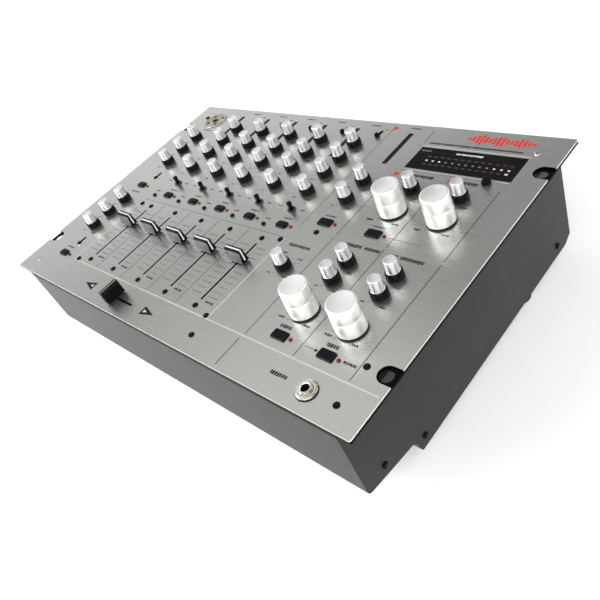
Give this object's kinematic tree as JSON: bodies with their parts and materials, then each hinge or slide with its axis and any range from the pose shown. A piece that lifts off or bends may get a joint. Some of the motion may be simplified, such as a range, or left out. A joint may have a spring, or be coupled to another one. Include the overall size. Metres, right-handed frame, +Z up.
{
  "type": "dj mixer",
  "caption": "Rack-width DJ mixer: silver sloped-case panel with knobs, switches, sliding channel faders, a crossfader, level meter and headphone socket.",
  "frame": {"origin": "on the surface that the feet stand on, at the middle of the footprint", "axes": "+X to the right along the panel's long side, +Y to the rear sockets, +Z up out of the control panel"},
  "size_m": [0.4826, 0.3184, 0.146],
  "materials": {
    "brushed_faceplate": "fine brushed, silver anodised, with dark printed markings",
    "case_paint": "semi-matt charcoal powder coat",
    "cover_paint": "semi-matt charcoal powder coat",
    "foot_rubber": "matt",
    "knob_aluminium": "bright turned aluminium caps over black skirts",
    "black_plastic": "glossy moulded black, white line on the fader caps",
    "board_laminate": "green solder mask",
    "transformer_steel": "varnished laminations",
    "smoked_lens": "smoked, glossy",
    "nickel_plate": "bright nickel",
    "black_screws": "black oxide"
  },
  "bodies": {
    "chassis": {"faceplate": "brushed_faceplate", "case_shell": "case_paint", "bottom_cover": "cover_paint", "rubber_feet": "foot_rubber", "circuit_boards": "board_laminate", "power_transformer": "transformer_steel", "meter_and_lamps": "smoked_lens", "sockets": "nickel_plate", "screws": "black_screws"},
    "assign_toggles": {"assign_toggles": "black_plastic"},
    "aux_return_knob": {"aux_return_knob": "knob_aluminium"},
    "aux_send_knob": {"aux_send_knob": "knob_aluminium"},
    "booth_balance_knob": {"booth_balance_knob": "knob_aluminium"},
    "booth_bass_knob": {"booth_bass_knob": "knob_aluminium"},
    "booth_level_knob": {"booth_level_knob": "knob_aluminium"},
    "booth_treble_knob": {"booth_treble_knob": "knob_aluminium"},
    "channel_five_fader": {"channel_five_fader": "black_plastic"},
    "channel_five_gain_knob": {"channel_five_gain_knob": "knob_aluminium"},
    "channel_five_high_knob": {"channel_five_high_knob": "knob_aluminium"},
    "channel_five_low_knob": {"channel_five_low_knob": "knob_aluminium"},
    "channel_five_mid_knob": {"channel_five_mid_knob": "knob_aluminium"},
    "channel_four_fader": {"channel_four_fader": "black_plastic"},
    "channel_four_gain_knob": {"channel_four_gain_knob": "knob_aluminium"},
    "channel_four_high_knob": {"channel_four_high_knob": "knob_aluminium"},
    "channel_four_low_knob": {"channel_four_low_knob": "knob_aluminium"},
    "channel_four_mid_knob": {"channel_four_mid_knob": "knob_aluminium"},
    "channel_one_fader": {"channel_one_fader": "black_plastic"},
    "channel_one_gain_knob": {"channel_one_gain_knob": "knob_aluminium"},
    "channel_one_high_knob": {"channel_one_high_knob": "knob_aluminium"},
    "channel_one_low_knob": {"channel_one_low_knob": "knob_aluminium"},
    "channel_one_mid_knob": {"channel_one_mid_knob": "knob_aluminium"},
    "channel_three_fader": {"channel_three_fader": "black_plastic"},
    "channel_three_gain_knob": {"channel_three_gain_knob": "knob_aluminium"},
    "channel_three_high_knob": {"channel_three_high_knob": "knob_aluminium"},
    "channel_three_low_knob": {"channel_three_low_knob": "knob_aluminium"},
    "channel_three_mid_knob": {"channel_three_mid_knob": "knob_aluminium"},
    "channel_two_fader": {"channel_two_fader": "black_plastic"},
    "channel_two_gain_knob": {"channel_two_gain_knob": "knob_aluminium"},
    "channel_two_high_knob": {"channel_two_high_knob": "knob_aluminium"},
    "channel_two_low_knob": {"channel_two_low_knob": "knob_aluminium"},
    "channel_two_mid_knob": {"channel_two_mid_knob": "knob_aluminium"},
    "crossfader": {"crossfader": "black_plastic"},
    "crossfader_curve_knob": {"crossfader_curve_knob": "knob_aluminium"},
    "cue_mix_knob": {"cue_mix_knob": "knob_aluminium"},
    "cue_tone_knob": {"cue_tone_knob": "knob_aluminium"},
    "input_selector_sliders": {"input_selector_sliders": "black_plastic"},
    "master_balance_knob": {"master_balance_knob": "knob_aluminium"},
    "master_level_knob": {"master_level_knob": "knob_aluminium"},
    "meter_toggle": {"meter_toggle": "black_plastic"},
    "mic_one_high_knob": {"mic_one_high_knob": "knob_aluminium"},
    "mic_one_level_knob": {"mic_one_level_knob": "knob_aluminium"},
    "mic_one_low_knob": {"mic_one_low_knob": "knob_aluminium"},
    "mic_sliders": {"mic_sliders": "black_plastic"},
    "mic_two_high_knob": {"mic_two_high_knob": "knob_aluminium"},
    "mic_two_level_knob": {"mic_two_level_knob": "knob_aluminium"},
    "mic_two_low_knob": {"mic_two_low_knob": "knob_aluminium"},
    "phones_level_knob": {"phones_level_knob": "knob_aluminium"},
    "power_rocker": {"power_rocker": "black_plastic"},
    "push_buttons": {"push_buttons": "black_plastic"},
    "second_level_knob": {"second_level_knob": "knob_aluminium"}
  },
  "joints": [
    {"name": "aux_return_turn", "type": "hinge", "parent": "chassis", "child": "aux_return_knob", "pos_m": [0.0867, 0.0358, 0.118], "axis": [0, 0, 1], "range_deg": [-150, 150]},
    {"name": "aux_send_turn", "type": "hinge", "parent": "chassis", "child": "aux_send_knob", "pos_m": [0.0867, 0.0618, 0.118], "axis": [0, 0, 1], "range_deg": [-150, 150]},
    {"name": "booth_balance_turn", "type": "hinge", "parent": "chassis", "child": "booth_balance_knob", "pos_m": [0.1867, 0.0618, 0.118], "axis": [0, 0, 1], "range_deg": [-150, 150]},
    {"name": "booth_bass_turn", "type": "hinge", "parent": "chassis", "child": "booth_bass_knob", "pos_m": [0.1397, -0.0309, 0.118], "axis": [0, 0, 1], "range_deg": [-150, 150]},
    {"name": "booth_level_turn", "type": "hinge", "parent": "chassis", "child": "booth_level_knob", "pos_m": [0.1397, -0.0852, 0.118], "axis": [0, 0, 1], "range_deg": [-150, 150]},
    {"name": "booth_treble_turn", "type": "hinge", "parent": "chassis", "child": "booth_treble_knob", "pos_m": [0.1397, -0.0509, 0.118], "axis": [0, 0, 1], "range_deg": [-150, 150]},
    {"name": "channel_five_fader_slide", "type": "slide", "parent": "chassis", "child": "channel_five_fader", "axis": [0, 1, 0], "range_m": [-0.04315, 0.01685]},
    {"name": "channel_five_gain_turn", "type": "hinge", "parent": "chassis", "child": "channel_five_gain_knob", "pos_m": [0.038, 0.1113, 0.118], "axis": [0, 0, 1], "range_deg": [-150, 150]},
    {"name": "channel_five_high_turn", "type": "hinge", "parent": "chassis", "child": "channel_five_high_knob", "pos_m": [0.038, 0.0873, 0.118], "axis": [0, 0, 1], "range_deg": [-150, 150]},
    {"name": "channel_five_low_turn", "type": "hinge", "parent": "chassis", "child": "channel_five_low_knob", "pos_m": [0.038, 0.0358, 0.118], "axis": [0, 0, 1], "range_deg": [-150, 150]},
    {"name": "channel_five_mid_turn", "type": "hinge", "parent": "chassis", "child": "channel_five_mid_knob", "pos_m": [0.038, 0.0633, 0.118], "axis": [0, 0, 1], "range_deg": [-150, 150]},
    {"name": "channel_four_fader_slide", "type": "slide", "parent": "chassis", "child": "channel_four_fader", "axis": [0, 1, 0], "range_m": [-0.04315, 0.01685]},
    {"name": "channel_four_gain_turn", "type": "hinge", "parent": "chassis", "child": "channel_four_gain_knob", "pos_m": [-0.00715, 0.1113, 0.118], "axis": [0, 0, 1], "range_deg": [-150, 150]},
    {"name": "channel_four_high_turn", "type": "hinge", "parent": "chassis", "child": "channel_four_high_knob", "pos_m": [-0.00715, 0.0873, 0.118], "axis": [0, 0, 1], "range_deg": [-150, 150]},
    {"name": "channel_four_low_turn", "type": "hinge", "parent": "chassis", "child": "channel_four_low_knob", "pos_m": [-0.00715, 0.0358, 0.118], "axis": [0, 0, 1], "range_deg": [-150, 150]},
    {"name": "channel_four_mid_turn", "type": "hinge", "parent": "chassis", "child": "channel_four_mid_knob", "pos_m": [-0.00715, 0.0633, 0.118], "axis": [0, 0, 1], "range_deg": [-150, 150]},
    {"name": "channel_one_fader_slide", "type": "slide", "parent": "chassis", "child": "channel_one_fader", "axis": [0, 1, 0], "range_m": [-0.04315, 0.01685]},
    {"name": "channel_one_gain_turn", "type": "hinge", "parent": "chassis", "child": "channel_one_gain_knob", "pos_m": [-0.1426, 0.1113, 0.118], "axis": [0, 0, 1], "range_deg": [-150, 150]},
    {"name": "channel_one_high_turn", "type": "hinge", "parent": "chassis", "child": "channel_one_high_knob", "pos_m": [-0.1426, 0.0873, 0.118], "axis": [0, 0, 1], "range_deg": [-150, 150]},
    {"name": "channel_one_low_turn", "type": "hinge", "parent": "chassis", "child": "channel_one_low_knob", "pos_m": [-0.1426, 0.0358, 0.118], "axis": [0, 0, 1], "range_deg": [-150, 150]},
    {"name": "channel_one_mid_turn", "type": "hinge", "parent": "chassis", "child": "channel_one_mid_knob", "pos_m": [-0.1426, 0.0633, 0.118], "axis": [0, 0, 1], "range_deg": [-150, 150]},
    {"name": "channel_three_fader_slide", "type": "slide", "parent": "chassis", "child": "channel_three_fader", "axis": [0, 1, 0], "range_m": [-0.04315, 0.01685]},
    {"name": "channel_three_gain_turn", "type": "hinge", "parent": "chassis", "child": "channel_three_gain_knob", "pos_m": [-0.0523, 0.1113, 0.118], "axis": [0, 0, 1], "range_deg": [-150, 150]},
    {"name": "channel_three_high_turn", "type": "hinge", "parent": "chassis", "child": "channel_three_high_knob", "pos_m": [-0.0523, 0.0873, 0.118], "axis": [0, 0, 1], "range_deg": [-150, 150]},
    {"name": "channel_three_low_turn", "type": "hinge", "parent": "chassis", "child": "channel_three_low_knob", "pos_m": [-0.0523, 0.0358, 0.118], "axis": [0, 0, 1], "range_deg": [-150, 150]},
    {"name": "channel_three_mid_turn", "type": "hinge", "parent": "chassis", "child": "channel_three_mid_knob", "pos_m": [-0.0523, 0.0633, 0.118], "axis": [0, 0, 1], "range_deg": [-150, 150]},
    {"name": "channel_two_fader_slide", "type": "slide", "parent": "chassis", "child": "channel_two_fader", "axis": [0, 1, 0], "range_m": [-0.04315, 0.01685]},
    {"name": "channel_two_gain_turn", "type": "hinge", "parent": "chassis", "child": "channel_two_gain_knob", "pos_m": [-0.09745, 0.1113, 0.118], "axis": [0, 0, 1], "range_deg": [-150, 150]},
    {"name": "channel_two_high_turn", "type": "hinge", "parent": "chassis", "child": "channel_two_high_knob", "pos_m": [-0.09745, 0.0873, 0.118], "axis": [0, 0, 1], "range_deg": [-150, 150]},
    {"name": "channel_two_low_turn", "type": "hinge", "parent": "chassis", "child": "channel_two_low_knob", "pos_m": [-0.09745, 0.0358, 0.118], "axis": [0, 0, 1], "range_deg": [-150, 150]},
    {"name": "channel_two_mid_turn", "type": "hinge", "parent": "chassis", "child": "channel_two_mid_knob", "pos_m": [-0.09745, 0.0633, 0.118], "axis": [0, 0, 1], "range_deg": [-150, 150]},
    {"name": "crossfader_curve_turn", "type": "hinge", "parent": "chassis", "child": "crossfader_curve_knob", "pos_m": [0.0867, -0.053, 0.118], "axis": [0, 0, 1], "range_deg": [-150, 150]},
    {"name": "cue_mix_turn", "type": "hinge", "parent": "chassis", "child": "cue_mix_knob", "pos_m": [0.1867, -0.0309, 0.118], "axis": [0, 0, 1], "range_deg": [-150, 150]},
    {"name": "cue_tone_turn", "type": "hinge", "parent": "chassis", "child": "cue_tone_knob", "pos_m": [0.1867, -0.0509, 0.118], "axis": [0, 0, 1], "range_deg": [-150, 150]},
    {"name": "master_balance_turn", "type": "hinge", "parent": "chassis", "child": "master_balance_knob", "pos_m": [0.1397, 0.0618, 0.118], "axis": [0, 0, 1], "range_deg": [-150, 150]},
    {"name": "master_level_turn", "type": "hinge", "parent": "chassis", "child": "master_level_knob", "pos_m": [0.1397, 0.0335, 0.118], "axis": [0, 0, 1], "range_deg": [-150, 150]},
    {"name": "mic_one_high_turn", "type": "hinge", "parent": "chassis", "child": "mic_one_high_knob", "pos_m": [-0.1938, 0.06255, 0.118], "axis": [0, 0, 1], "range_deg": [-150, 150]},
    {"name": "mic_one_level_turn", "type": "hinge", "parent": "chassis", "child": "mic_one_level_knob", "pos_m": [-0.1938, 0.0868, 0.118], "axis": [0, 0, 1], "range_deg": [-150, 150]},
    {"name": "mic_one_low_turn", "type": "hinge", "parent": "chassis", "child": "mic_one_low_knob", "pos_m": [-0.1938, 0.0383, 0.118], "axis": [0, 0, 1], "range_deg": [-150, 150]},
    {"name": "mic_two_high_turn", "type": "hinge", "parent": "chassis", "child": "mic_two_high_knob", "pos_m": [-0.1938, -0.05535, 0.118], "axis": [0, 0, 1], "range_deg": [-150, 150]},
    {"name": "mic_two_level_turn", "type": "hinge", "parent": "chassis", "child": "mic_two_level_knob", "pos_m": [-0.1938, -0.0325, 0.118], "axis": [0, 0, 1], "range_deg": [-150, 150]},
    {"name": "mic_two_low_turn", "type": "hinge", "parent": "chassis", "child": "mic_two_low_knob", "pos_m": [-0.1938, -0.0782, 0.118], "axis": [0, 0, 1], "range_deg": [-150, 150]},
    {"name": "phones_level_turn", "type": "hinge", "parent": "chassis", "child": "phones_level_knob", "pos_m": [0.1867, -0.0852, 0.118], "axis": [0, 0, 1], "range_deg": [-150, 150]},
    {"name": "second_level_turn", "type": "hinge", "parent": "chassis", "child": "second_level_knob", "pos_m": [0.1867, 0.0335, 0.118], "axis": [0, 0, 1], "range_deg": [-150, 150]},
    {"name": "crossfader_slide", "type": "slide", "parent": "chassis", "child": "crossfader", "axis": [1, 0, 0], "range_m": [-0.0225, 0.0225]},
    {"name": "assign_tilt", "type": "hinge", "parent": "chassis", "child": "assign_toggles", "pos_m": [-0.0503, 0.0098, 0.117], "axis": [1, 0, 0], "range_deg": [-12, 12]},
    {"name": "meter_tilt", "type": "hinge", "parent": "chassis", "child": "meter_toggle", "pos_m": [0.1974, 0.0838, 0.117], "axis": [1, 0, 0], "range_deg": [-8, 8]},
    {"name": "input_selector_slide", "type": "slide", "parent": "chassis", "child": "input_selector_sliders", "axis": [0, 1, 0], "range_m": [0, 0.007]},
    {"name": "mic_slide", "type": "slide", "parent": "chassis", "child": "mic_sliders", "axis": [0, 1, 0], "range_m": [0, 0.007]},
    {"name": "button_press", "type": "slide", "parent": "chassis", "child": "push_buttons", "axis": [0, 0, 1], "range_m": [-0.001, 0], "stiffness_N_per_m": 1500},
    {"name": "power_rock", "type": "hinge", "parent": "chassis", "child": "power_rocker", "pos_m": [-0.1493, 0.1497, 0.0375], "axis": [1, 0, 0], "range_deg": [0, 14]}
  ]
}
